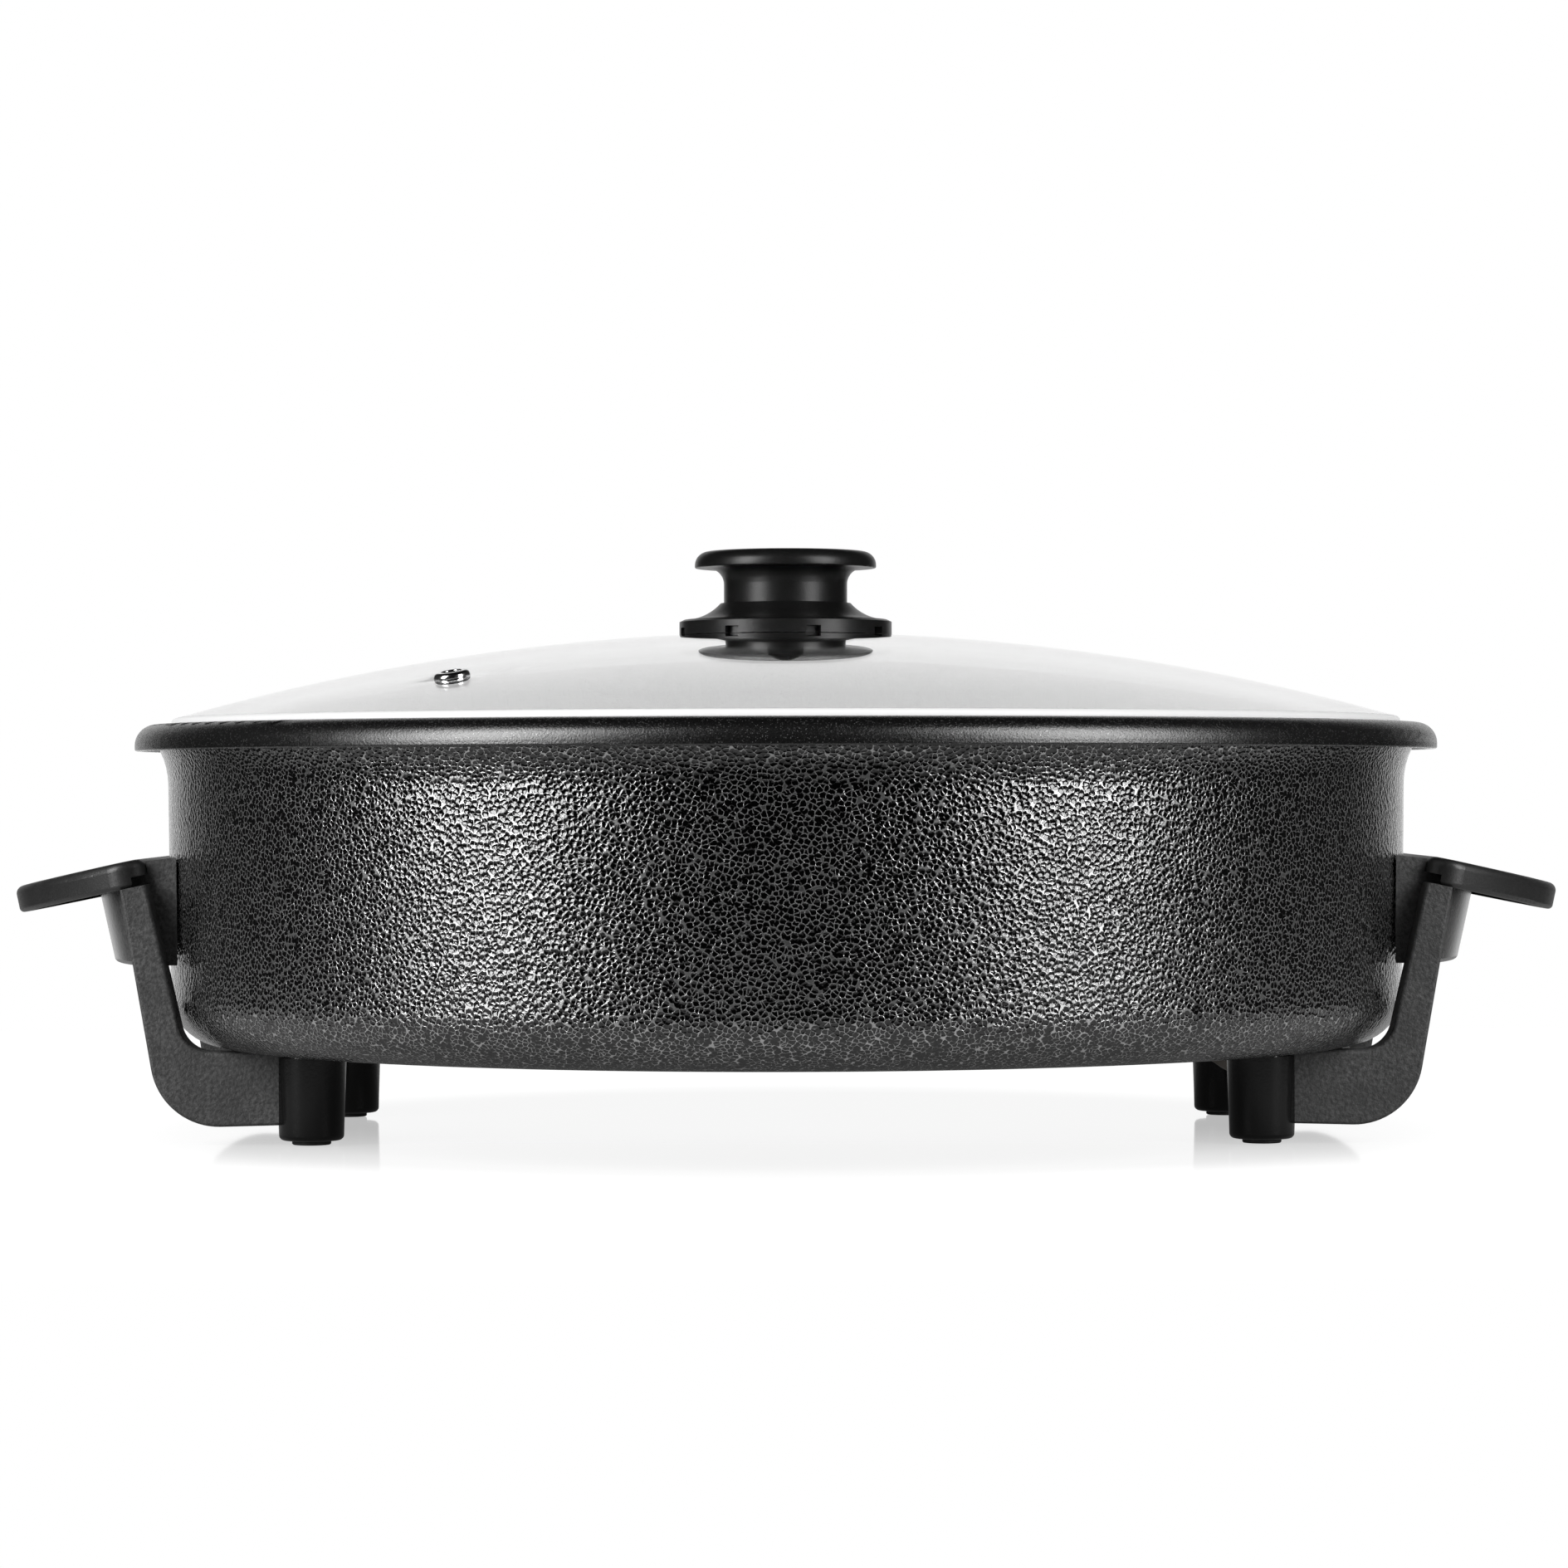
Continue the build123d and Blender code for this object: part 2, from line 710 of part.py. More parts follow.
def lid_glass():
    """The domed glass with holes for the knob's screw and the vent."""
    edge_top = dome_height(lid_radius)
    inner_radius = dome_radius - glass_thickness
    edge_low = dome_center + math.sqrt(inner_radius**2 - lid_radius**2)
    half = lid_radius / 2
    upper = ThreePointArc(at(0, dome_top), at(half, dome_height(half)), at(lid_radius, edge_top))
    lower_half = dome_center + math.sqrt(inner_radius**2 - half**2)
    lower = ThreePointArc(at(0, dome_top - glass_thickness), at(half, lower_half), at(lid_radius, edge_low))
    edge = Line(at(lid_radius, edge_top), at(lid_radius, edge_low))
    axis = Line(at(0, dome_top), at(0, dome_top - glass_thickness))
    glass = spin([upper, edge, lower, axis])
    rims = [e for e in glass.edges().filter_by(GeomType.CIRCLE) if e.radius > half]
    glass = fillet(rims, glass_edge_radius)
    glass -= disc(knob_seal_outer(), dome_top - overrun, dome_top + overrun)
    hole = disc(vent_tube_radius + vent_hole_clearance, -overrun, overrun)
    return glass - vent_plane() * hole


def vent_eyelet():
    """The crimped eyelet: a rounded flange, a tube through the glass and a crimp below it."""
    crimp_top = -glass_thickness - vent_gasket_height - 2 * touch_gap
    crimp_bottom = crimp_top - vent_crimp_height
    flange = disc(vent_flange_radius, touch_gap, vent_flange_height)
    flange = fillet(flange.edges().sort_by(Axis.Z)[-1], vent_flange_edge)
    eyelet = flange + disc(vent_tube_radius, crimp_bottom, vent_flange_height)
    eyelet += disc(vent_crimp_radius, crimp_bottom, crimp_top)
    eyelet -= disc(vent_bore_radius, crimp_bottom - overrun, overrun)
    mouth = eyelet.edges().filter_by(GeomType.CIRCLE).sort_by(Axis.Z)[-2:].sort_by(SortBy.RADIUS)[0]
    eyelet = fillet(mouth, vent_mouth_edge)
    return vent_plane() * eyelet


def vent_gasket():
    """The seal between the glass and the eyelet's crimp."""
    top = -glass_thickness - touch_gap
    outer = vent_crimp_radius - vent_gasket_inset
    return vent_plane() * ring(outer, vent_tube_radius + touch_gap, top - vent_gasket_height, top)


def knob_heights():
    """Heights of the skirt's foot, the flare's foot, the joint, the disc's underside and its top."""
    skirt_foot = dome_height(knob_skirt_radius - knob_skirt_wall) + touch_gap
    flare_foot = skirt_foot + knob_skirt_height
    joint = flare_foot + knob_flare_height
    disc_low = joint + knob_neck_height
    return skirt_foot, flare_foot, joint, disc_low, disc_low + knob_disc_height


def knob_base():
    """The flared lower part of the knob, hollow below, with notches in its skirt."""
    skirt_foot, flare_foot, joint = knob_heights()[:3]
    skirt_in = knob_skirt_radius - knob_skirt_wall
    hole = knob_spigot_radius + knob_fit
    flare_low = at(knob_flare_bottom_radius, flare_foot)
    flare_high = at(knob_flare_top_radius, joint)
    across = flare_high - flare_low
    sag = Vector(-across.Z, 0, across.X) * (knob_flare_sag_share * 0.5)
    skirt_top = at(knob_skirt_radius, flare_foot - knob_skirt_edge)
    flare_middle = (flare_low + flare_high) * 0.5 + sag
    boss_foot = dome_top + touch_gap
    hollow_top = joint - knob_shell
    edges = chain(at(skirt_in, skirt_foot), at(knob_skirt_radius, skirt_foot), skirt_top, flare_low)
    edges += [ThreePointArc(flare_low, flare_middle, flare_high)]
    edges += chain(
        flare_high,
        at(hole, joint),
        at(hole, boss_foot),
        at(knob_boss_radius, boss_foot),
        at(knob_boss_radius, hollow_top),
        at(knob_neck_radius - knob_shell, hollow_top),
        at(skirt_in, flare_foot - knob_shell),
        at(skirt_in, skirt_foot),
    )
    base = spin(edges)
    notch = Box(2 * knob_skirt_wall, knob_notch_width, 2 * knob_notch_height)
    for n in range(knob_notches):
        turn = knob_notch_angle + 360 * n / knob_notches
        base -= Rot(0, 0, turn) * Pos(knob_skirt_radius, 0, skirt_foot) * notch
    return base


def knob_grip():
    """The upper part of the knob: a disc on a neck, with a spigot into the base."""
    joint, disc_low, disc_top = knob_heights()[2:]
    spigot_foot = joint - knob_spigot_length
    pocket = knob_insert_radius + knob_fit
    pocket_top = spigot_foot + knob_insert_length + knob_fit
    lip = at(knob_disc_radius, disc_low + knob_disc_lower_edge)
    lip_in = at(knob_disc_radius - knob_disc_lower_edge, disc_low)
    neck_out = at(knob_neck_radius + knob_neck_fillet, disc_low)
    neck_high = at(knob_neck_radius, disc_low - knob_neck_fillet)
    top_edge = at(knob_disc_radius - knob_disc_edge, disc_top)
    side = at(knob_disc_radius, disc_top - knob_disc_edge)
    edges = [
        Line(at(0, disc_top), top_edge),
        TangentArc(top_edge, side, tangent=(1, 0, 0)),
        Line(side, lip),
        TangentArc(lip, lip_in, tangent=(0, 0, -1)),
        Line(lip_in, neck_out),
        TangentArc(neck_out, neck_high, tangent=(-1, 0, 0)),
    ]
    edges += chain(
        neck_high,
        at(knob_neck_radius, joint),
        at(knob_spigot_radius, joint),
        at(knob_spigot_radius, spigot_foot),
        at(pocket, spigot_foot),
        at(pocket, pocket_top),
        at(0, pocket_top),
        at(0, disc_top),
    )
    return spin(edges)


def knob_insert():
    """The threaded brass insert moulded into the knob."""
    spigot_foot = knob_heights()[2] - knob_spigot_length
    insert = disc(knob_insert_radius, spigot_foot, spigot_foot + knob_insert_length)
    bore = knob_screw_radius + thread_clearance
    return insert - disc(bore, spigot_foot - overrun, spigot_foot + knob_screw_bite + 2 * thread_clearance)


def knob_seal_outer():
    """Radius of the hole in the glass, which the seal's sleeve lines."""
    return knob_screw_radius + thread_clearance + knob_seal_wall


def knob_seal_top():
    """Height of the seal's flange, just under the curved glass."""
    inner_radius = dome_radius - glass_thickness
    return dome_center + math.sqrt(inner_radius**2 - knob_screw_head_radius**2) - touch_gap


def knob_seal():
    """The top-hat seal between the screw and the glass."""
    top = knob_seal_top()
    bore = knob_screw_radius + thread_clearance
    flange = ring(knob_screw_head_radius, bore, top - knob_seal_height, top)
    return flange + ring(knob_seal_outer() - touch_gap, bore, top - knob_seal_height, dome_top - touch_gap)


def knob_screw():
    """The screw that holds the knob, with its round head under the glass."""
    seat = knob_seal_top() - knob_seal_height
    tip = knob_heights()[2] - knob_spigot_length + knob_screw_bite
    head_foot = seat - knob_screw_head_height
    crown = ThreePointArc(
        at(-knob_screw_head_radius, seat), at(0, head_foot), at(knob_screw_head_radius, seat)
    ).trim(0.5, 1)
    edges = [crown] + chain(
        at(knob_screw_head_radius, seat),
        at(knob_screw_radius, seat),
        at(knob_screw_radius, tip),
        at(0, tip),
        at(0, head_foot),
    )
    slot = Box(2 * knob_screw_head_radius, knob_screw_slot_width, 2 * knob_screw_slot_depth)
    return spin(edges) - Pos(0, 0, head_foot) * slot


def write(name, shape):
    """Writes one node, which may be a group of separate solids."""
    solids = shape if isinstance(shape, (list, tuple)) else [shape]
    pieces = [solid for item in solids for solid in item.solids()]
    whole = pieces[0] if len(pieces) == 1 else Compound(children=pieces)
    export_step(whole, f"parts/{name}.step")


def main():
    os.makedirs("parts", exist_ok=True)
    write("pan_body", pan_body())
    write("heating_element", heating_element())
    write("terminal_pins", terminal_pins())
    write("terminal_insulators", terminal_insulators())
    write("socket_guard", socket_guard())
    write("socket_screws", socket_screws())
    for piece, shape in (("bracket", right_bracket()), ("grip", right_grip())):
        right, left = both_sides(shape)
        write(f"right_{piece}", right)
        write(f"left_{piece}", left)
    write("grip_screws", grip_screws())
    write("bracket_screws", bracket_screws())
    write("bracket_washers", bracket_washers())
    pad = foot_pad()
    for side, x in (("left", -foot_x), ("right", foot_x)):
        for end, y in (("front", -foot_y), ("rear", foot_y)):
            write(f"{end}_{side}_foot_pad", Pos(x, y) * pad)
    write("lid_glass", lid_glass())
    write("vent_eyelet", vent_eyelet())
    write("vent_gasket", vent_gasket())
    write("knob_base", knob_base())
    write("knob_grip", knob_grip())
    write("knob_insert", knob_insert())
    write("knob_seal", knob_seal())
    write("knob_screw", knob_screw())


main()
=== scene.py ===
import json
import math

import bpy
from mathutils import Matrix, Vector


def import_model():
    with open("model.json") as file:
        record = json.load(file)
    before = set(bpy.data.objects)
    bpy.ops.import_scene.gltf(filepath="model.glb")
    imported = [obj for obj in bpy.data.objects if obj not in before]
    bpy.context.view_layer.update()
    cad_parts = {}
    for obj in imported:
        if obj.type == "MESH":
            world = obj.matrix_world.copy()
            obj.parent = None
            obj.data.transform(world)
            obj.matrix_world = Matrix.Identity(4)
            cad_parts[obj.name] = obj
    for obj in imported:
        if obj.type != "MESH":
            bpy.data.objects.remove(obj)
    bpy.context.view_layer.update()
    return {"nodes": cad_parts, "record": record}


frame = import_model()

# Sizes are in metres, angles in degrees and powers in watts.
# A name that ends in RANGE is a pair: where a smooth step begins and where it ends.

# Camera: the photograph is square, and its optical axis is level.
PICTURE_PX = 1889
FOCAL_PX = 5757
SENSOR_WIDTH_MM = 36.0
CAMERA_DISTANCE = 1.481
CAMERA_HEIGHT = 0.1068
CAMERA_SHIFT = -0.0006
CAMERA_ROLL = 0.12
CAMERA_REACH = 20.0
UPRIGHT_TURN = 90

# Pan zones, in the part's own sizes: paint outside up to the rim's lip, and coat on the rim and inside
RIM_BOTTOM = 0.1171
RIM_MARGIN = 0.0002
WALL_RADIUS = 0.1899
WALL_FLARE_HEIGHT = 0.01
WALL_DRAFT = 0.6
WALL_MIDDLE_DEPTH = 0.002
BASE_MIDDLE = 0.031
CORNER_MIDDLE_RADIUS = 0.0135
UNDERSIDE_LEVEL = 0.0285
PAN_GLOSS = 1.0
PAN_BUMP = 1.0
PAN_RELIEF = 0.00014

# Hammered paint: its cells are craters, and the grey veins are the ridges between them.
HAMMER_CELL = 0.0016
HAMMER_TURN = 33
HAMMER_SCATTER_SHARE = 0.92
WOBBLE_SIZE = 0.0012
WOBBLE_REACH = 0.0011
NOISE_MIDDLE = 0.5
CRATER_SHARE = 0.66
KNOT_RANGE = (0.64, 0.8)
VEIN_RANGE = (0.025, 0.085)
VEIN_BREAK_SIZE = 0.002
VEIN_BREAK_RANGE = (0.35, 0.6)
CRATER_GREY = 0.001
VEIN_GREY = 0.56
CRATER_ROUGHNESS = 0.08
VEIN_ROUGHNESS = 0.28

# Non-stick coat with metal flecks
FLECK_CELL = 0.00045
FLECK_CHOICE_RANGE = (0.6, 0.95)
FLECK_SPREAD_RANGE = (0.14, 0.36)
FLECK_METAL_SHARE = 0.8
FLECK_GREY = 0.3
COAT_GREY = 0.003
COAT_GRAIN_SIZE = 0.0006
COAT_GRAIN_RANGE = (0.25, 0.75)
COAT_ROUGHNESS = (0.22, 0.3)
COAT_RELIEF_SHARE = 0.7

# Grain of the plastics, metals, rubbers and ceramic
CLOUD_RANGE = (0.3, 0.7)
MOTTLE_RANGE = (0.3, 0.8)
MOTTLE_CLOUD_SIZE = 0.012
MOTTLE_CLOUD_LEAST = 0.4
MOTTLE_DARK_SHARE = 0.7
MOTTLE_PALE_SHARE = 1.8
PHENOLIC_BUMP = 0.35
METAL_DARK_SHARE = 0.78
SOFT_PALE_SHARE = 1.3
SOFT_ROUGHNESS_SPREAD = 0.08
SOFT_BUMP = 0.3
SOFT_RELIEF = 0.0001

# Finishes by record slot. A pair of roughnesses is the least and the most.
PLASTICS = {
    # The bracket's level is a grey well above black phenolic: painted sheen on its arms and guard.
    "bracket_plastic": dict(level=0.066, gloss=0.36, roughness=(0.45, 0.6), relief=0.001, grain_size=0.0012),
    "grip_plastic": dict(level=0.014, gloss=0.8, roughness=(0.42, 0.5), relief=0.0002, grain_size=0.0005),
    "knob_plastic": dict(level=0.005, gloss=0.36, roughness=(0.32, 0.4), relief=0.0001, grain_size=0.0005),
}
METALS = {
    "element_steel": dict(colour=(0.36, 0.33, 0.30, 1.0), roughness=(0.35, 0.55), grain_size=0.004),
    "contact_brass": dict(colour=(0.75, 0.58, 0.30, 1.0), roughness=(0.25, 0.4), grain_size=0.002),
    "guard_steel": dict(colour=(0.62, 0.62, 0.62, 1.0), roughness=(0.25, 0.42), grain_size=0.003),
    "screw_steel": dict(colour=(0.5, 0.5, 0.5, 1.0), roughness=(0.25, 0.4), grain_size=0.001),
    "vent_chrome": dict(colour=(0.7, 0.7, 0.7, 1.0), roughness=(0.14, 0.2), grain_size=0.002),
}
SOFTS = {
    "bead_ceramic": dict(colour=(0.72, 0.69, 0.62, 1.0), roughness=0.6, grain_size=0.0006),
    "pad_rubber": dict(colour=(0.012, 0.012, 0.012, 1.0), roughness=0.7, grain_size=0.0005),
    "seal_rubber": dict(colour=(0.05, 0.05, 0.05, 1.0), roughness=0.6, grain_size=0.0005),
}

# Brackets: black feet, and a smooth guard between the grained arms; arms and guard carry a grey painted
# sheen
FOOT_X = 0.1412
FOOT_Y = 0.0607
FOOT_RADIUS = 0.0107
GUARD_HALF_WIDTH = 0.0552
FOOT_GREY = 0.003
SMOOTH_ROUGHNESS = 0.2
SMOOTH_BUMP = 0.05

# Lid glass with a ground edge
GLASS_EDGE = 0.1871
GLASS_EDGE_BLEND = 0.0003
GLASS_COLOUR = (0.985, 0.987, 0.987, 1.0)
GLASS_IOR = 1.5
GLASS_SHADOW_GREY = 0.9
GROUND_GREY = 0.95
GROUND_ROUGHNESS = 0.45
GROUND_OPAQUE_SHARE = 0.85

# Table: white around the object, with a painted shadow that makes it slightly darker under it, and a faint
# mirror image
FLOOR_HALF_WIDTH = 0.4
FLOOR_FRONT = -0.45
FLOOR_BACK = 0.6
FLOOR_LEVEL = -0.0002
FLOOR_GREY = 0.16
PAINTED_SHADOW_RANGE = (0.17, 0.23)
PAINTED_SHADOW_WHITE = 0.86
MIRROR_Y_RANGE = (-0.25, 0.02)
MIRROR_POWER = 1.6
MIRROR_RADIUS_RANGE = (0.24, 0.34)
MIRROR_SHARE = 0.45
MIRROR_ROUGHNESS = 0.06

# Mirrored in the object, the table is a grey glow, with painted shade that makes it darker under the object,
# and black at its front edge.
SHADE_RANGE = (0.14, 0.24)
SHADE_LEAST = 0.25
FRONT_RANGE = (-0.42, -0.24)
FRONT_LEVEL = 0.36

# Softboxes at angles right of the camera
LAMPS = {"left_softbox": dict(angle=-52, power=20), "right_softbox": dict(angle=50, power=16)}
LAMP_DISTANCE = 1.3
LAMP_HEIGHT = 0.6
LAMP_WIDTH = 0.6
LAMP_LENGTH = 1.1
LAMP_AIM_HEIGHT = 0.08

# Mirrored surroundings by direction: white behind the object, dark in front and overhead
BEHIND_RANGE = (0.8, 0.97)
BEHIND_LEAST = 0.03
AHEAD_RANGE = (-0.6, 0.2)
AHEAD_LEAST = 0.02
OVERHEAD_RANGE = (0.5, 0.9)
OVERHEAD_LEAST = 0.04
FILL_LEVEL = 0.12


def node(tree, kind, inputs=None, **settings):
    """Adds a node, sets its properties, and sets or links its inputs."""
    made = tree.nodes.new(kind)
    for key, value in settings.items():
        setattr(made, key, value)
    for key, value in (inputs or {}).items():
        set_input(tree, made.inputs[key], value)
    return made


def set_input(tree, socket, value):
    """Links a socket to another one, or sets it to a number or colour."""
    if isinstance(value, bpy.types.NodeSocket):
        tree.links.new(value, socket)
    else:
        socket.default_value = value


def feed(tree, shader, **sockets):
    """Sets or links inputs of a shader, whose names are written with underscores."""
    for key, value in sockets.items():
        set_input(tree, shader.inputs[key.replace("_", " ")], value)


def calc(tree, operation, *values):
    """The result of one Math node."""
    return node(tree, "ShaderNodeMath", dict(enumerate(values)), operation=operation).outputs[0]


def vector_calc(tree, operation, inputs):
    """The result of one Vector Math node."""
    return node(tree, "ShaderNodeVectorMath", inputs, operation=operation).outputs[0]


def length(tree, x, y):
    """Length of the flat vector x, y."""
    return calc(tree, "SQRT", calc(tree, "ADD", calc(tree, "MULTIPLY", x, x), calc(tree, "MULTIPLY", y, y)))


def parts_of(tree, place):
    """The x, y and z of a place."""
    return node(tree, "ShaderNodeSeparateXYZ", {"Vector": place}).outputs


def steps(tree, value, span, to_low=0.0, to_high=1.0):
    """A smooth step of value, from to_low at the span's beginning to to_high at its end."""
    low, high = span
    inputs = {"Value": value, "From Min": low, "From Max": high, "To Min": to_low, "To Max": to_high}
    return node(tree, "ShaderNodeMapRange", inputs, interpolation_type="SMOOTHSTEP").outputs["Result"]


def blend_value(tree, factor, low, high):
    """A number between low and high, which are numbers or sockets."""
    return node(tree, "ShaderNodeMix", {0: factor, 2: low, 3: high}, data_type="FLOAT").outputs[0]


def blend_place(tree, factor, low, high):
    """A place between low and high, which are sockets."""
    return node(tree, "ShaderNodeMix", {0: factor, 4: low, 5: high}, data_type="VECTOR").outputs[1]


def blend_colour(tree, factor, low, high):
    """A colour between low and high, which are colours or sockets."""
    return node(tree, "ShaderNodeMix", {0: factor, 6: low, 7: high}, data_type="RGBA").outputs[2]


def grey(level):
    """An opaque grey."""
    return (level, level, level, 1.0)


def toned(colour, share):
    """An opaque colour times share, at most white."""
    return tuple(min(1.0, share * c) for c in colour[:3]) + (1.0,)


def noise(tree, place, size, detail=2.0, roughness=0.5):
    """Noise whose lumps are about size across."""
    inputs = {"Vector": place, "Scale": 1 / size, "Detail": detail, "Roughness": roughness}
    return node(tree, "ShaderNodeTexNoise", inputs)


def cells(tree, place, size, feature, dimensions="3D", randomness=1.0):
    """Voronoi cells about size across."""
    inputs = {"Vector": place, "Scale": 1 / size, "Randomness": randomness}
    return node(tree, "ShaderNodeTexVoronoi", inputs, feature=feature, voronoi_dimensions=dimensions)


def bump_node(tree, height, strength, relief):
    """A Bump node, which makes a height from 0 to 1 as deep as relief."""
    return node(tree, "ShaderNodeBump", {"Height": height, "Strength": strength, "Distance": relief})


def light_path(tree):
    """The light path's outputs, and 1 for what the camera sees, directly or through glass."""
    path = node(tree, "ShaderNodeLightPath").outputs
    return path, calc(tree, "MAXIMUM", path["Is Camera Ray"], path["Is Transmission Ray"])


def material(name):
    """A new material: its tree, its shader and the place on the object."""
    made = bpy.data.materials.new(name)
    made.use_nodes = True
    tree = made.node_tree
    place = node(tree, "ShaderNodeTexCoord").outputs["Object"]
    return made, tree, tree.nodes["Principled BSDF"], place


def finish_with(tree, shader):
    """Makes a shader the material's surface."""
    tree.links.new(shader.outputs[0], tree.nodes["Material Output"].inputs["Surface"])


def pan_zone(tree, place):
    """1 on the pan's painted outside, 0 on its rim and inside, parted along the middle of its wall."""
    x, y, z = parts_of(tree, place)
    radius = length(tree, x, y)
    slope = math.tan(math.radians(WALL_DRAFT))
    line_foot = WALL_RADIUS - (RIM_BOTTOM - WALL_FLARE_HEIGHT) * slope - WALL_MIDDLE_DEPTH
    middle = calc(tree, "MULTIPLY_ADD", z, slope, line_foot - CORNER_MIDDLE_RADIUS)
    out = calc(tree, "MAXIMUM", calc(tree, "SUBTRACT", radius, middle), 0.0)
    down = calc(tree, "MAXIMUM", calc(tree, "SUBTRACT", BASE_MIDDLE + CORNER_MIDDLE_RADIUS, z), 0.0)
    outside = calc(tree, "GREATER_THAN", length(tree, out, down), CORNER_MIDDLE_RADIUS)
    below_rim = calc(tree, "LESS_THAN", z, RIM_BOTTOM + RIM_MARGIN)
    return calc(tree, "MULTIPLY", outside, below_rim)


def unrolled(tree, place):
    """The pan's outside laid flat: wall and corner by angle and height plus radius, underside as it is."""
    x, y, z = parts_of(tree, place)
    angle = calc(tree, "ARCTAN2", x, calc(tree, "MULTIPLY", y, -1.0))
    along = calc(tree, "MULTIPLY", angle, WALL_RADIUS)
    up = calc(tree, "ADD", z, length(tree, x, y))
    wall = node(tree, "ShaderNodeCombineXYZ", {"X": along, "Y": up}).outputs[0]
    return blend_place(tree, calc(tree, "GREATER_THAN", z, UNDERSIDE_LEVEL), place, wall)


def hammer_place(tree, place):
    """The unrolled pan, turned and with a small wobble, so that its cells have no grid."""
    wobble = noise(tree, place, WOBBLE_SIZE).outputs["Color"]
    shift = vector_calc(tree, "ADD", {0: wobble, 1: (-NOISE_MIDDLE, -NOISE_MIDDLE, -NOISE_MIDDLE)})
    shift = vector_calc(tree, "SCALE", {0: shift, "Scale": WOBBLE_REACH})
    bent = vector_calc(tree, "ADD", {0: unrolled(tree, place), 1: shift})
    turn = {"Vector": bent, "Angle": math.radians(HAMMER_TURN)}
    return node(tree, "ShaderNodeVectorRotate", turn, rotation_type="Z_AXIS").outputs[0]


def hammered(tree, place):
    """Colour, metal, roughness and height of hammered paint: black craters between grey veins."""
    bent = hammer_place(tree, place)
    middle = cells(tree, bent, HAMMER_CELL, "F1", "2D", HAMMER_SCATTER_SHARE).outputs["Distance"]
    edge = cells(tree, bent, HAMMER_CELL, "DISTANCE_TO_EDGE", "2D", HAMMER_SCATTER_SHARE).outputs["Distance"]
    knot = steps(tree, middle, KNOT_RANGE)
    unbroken = steps(tree, noise(tree, place, VEIN_BREAK_SIZE, detail=1.0).outputs["Fac"], VEIN_BREAK_RANGE)
    line = calc(tree, "MULTIPLY", steps(tree, edge, VEIN_RANGE, 1.0, 0.0), unbroken)
    vein = calc(tree, "MAXIMUM", knot, line)
    share = calc(tree, "DIVIDE", middle, CRATER_SHARE)
    height = calc(tree, "MINIMUM", calc(tree, "MULTIPLY", share, share), 1.0)
    colour = blend_colour(tree, vein, grey(CRATER_GREY), grey(VEIN_GREY))
    rough = blend_value(tree, vein, CRATER_ROUGHNESS, VEIN_ROUGHNESS)
    return colour, vein, rough, height


def flecked(tree, place):
    """Colour, metal, roughness and height of black non-stick coat with metal flecks."""
    spots = cells(tree, place, FLECK_CELL, "F1")
    pick = node(tree, "ShaderNodeSeparateColor", {"Color": spots.outputs["Color"]}).outputs[0]
    chosen = steps(tree, pick, FLECK_CHOICE_RANGE)
    near = steps(tree, spots.outputs["Distance"], FLECK_SPREAD_RANGE, 1.0, 0.0)
    fleck = calc(tree, "MULTIPLY", chosen, near)
    grain = noise(tree, place, COAT_GRAIN_SIZE, detail=3.0, roughness=0.7).outputs["Fac"]
    colour = blend_colour(tree, fleck, grey(COAT_GREY), grey(FLECK_GREY))
    shine = calc(tree, "MULTIPLY", fleck, FLECK_METAL_SHARE)
    rough = steps(tree, grain, COAT_GRAIN_RANGE, *COAT_ROUGHNESS)
    height = calc(tree, "MULTIPLY", grain, COAT_RELIEF_SHARE)
    return colour, shine, rough, height


def pan_material():
    """Hammered paint outside, flecked non-stick coat on the rim and inside."""
    made, tree, shader, place = material("pan_finish")
    zone = pan_zone(tree, place)
    paint_colour, paint_metal, paint_rough, paint_height = hammered(tree, place)
    coat_colour, coat_metal, coat_rough, coat_height = flecked(tree, place)
    height = blend_value(tree, zone, coat_height, paint_height)
    feed(
        tree,
        shader,
        Base_Color=blend_colour(tree, zone, coat_colour, paint_colour),
        Metallic=blend_value(tree, zone, coat_metal, paint_metal),
        Roughness=blend_value(tree, zone, coat_rough, paint_rough),
        Specular_IOR_Level=PAN_GLOSS,
        Normal=bump_node(tree, height, PAN_BUMP, PAN_RELIEF).outputs[0],
    )
    return made


def phenolic(name, level, gloss, roughness, relief, grain_size):
    """Black moulded phenolic with a fine grain."""
    made, tree, shader, place = material(name)
    grain = noise(tree, place, grain_size, detail=3.0, roughness=0.6).outputs["Fac"]
    cloud = noise(tree, place, MOTTLE_CLOUD_SIZE).outputs["Fac"]
    patches = steps(tree, cloud, CLOUD_RANGE, MOTTLE_CLOUD_LEAST, 1.0)
    mottle = calc(tree, "MULTIPLY", steps(tree, grain, MOTTLE_RANGE), patches)
    bump = bump_node(tree, grain, PHENOLIC_BUMP, relief)
    dark, pale = grey(level * MOTTLE_DARK_SHARE), grey(level * MOTTLE_PALE_SHARE)
    feed(
        tree,
        shader,
        Base_Color=blend_colour(tree, mottle, dark, pale),
        Roughness=blend_value(tree, mottle, *roughness),
        Specular_IOR_Level=gloss,
        Normal=bump.outputs[0],
    )
    return made, tree, shader, place, bump


def bracket_zones(tree, place):
    """Two masks of the brackets: the black feet, and the smooth feet and guard between the arms."""
    x, y = parts_of(tree, place)[:2]
    x, y = calc(tree, "ABSOLUTE", x), calc(tree, "ABSOLUTE", y)
    across = calc(tree, "SUBTRACT", x, FOOT_X)
    along = calc(tree, "SUBTRACT", y, FOOT_Y)
    foot = calc(tree, "LESS_THAN", length(tree, across, along), FOOT_RADIUS)
    return foot, calc(tree, "MAXIMUM", foot, calc(tree, "LESS_THAN", y, GUARD_HALF_WIDTH))


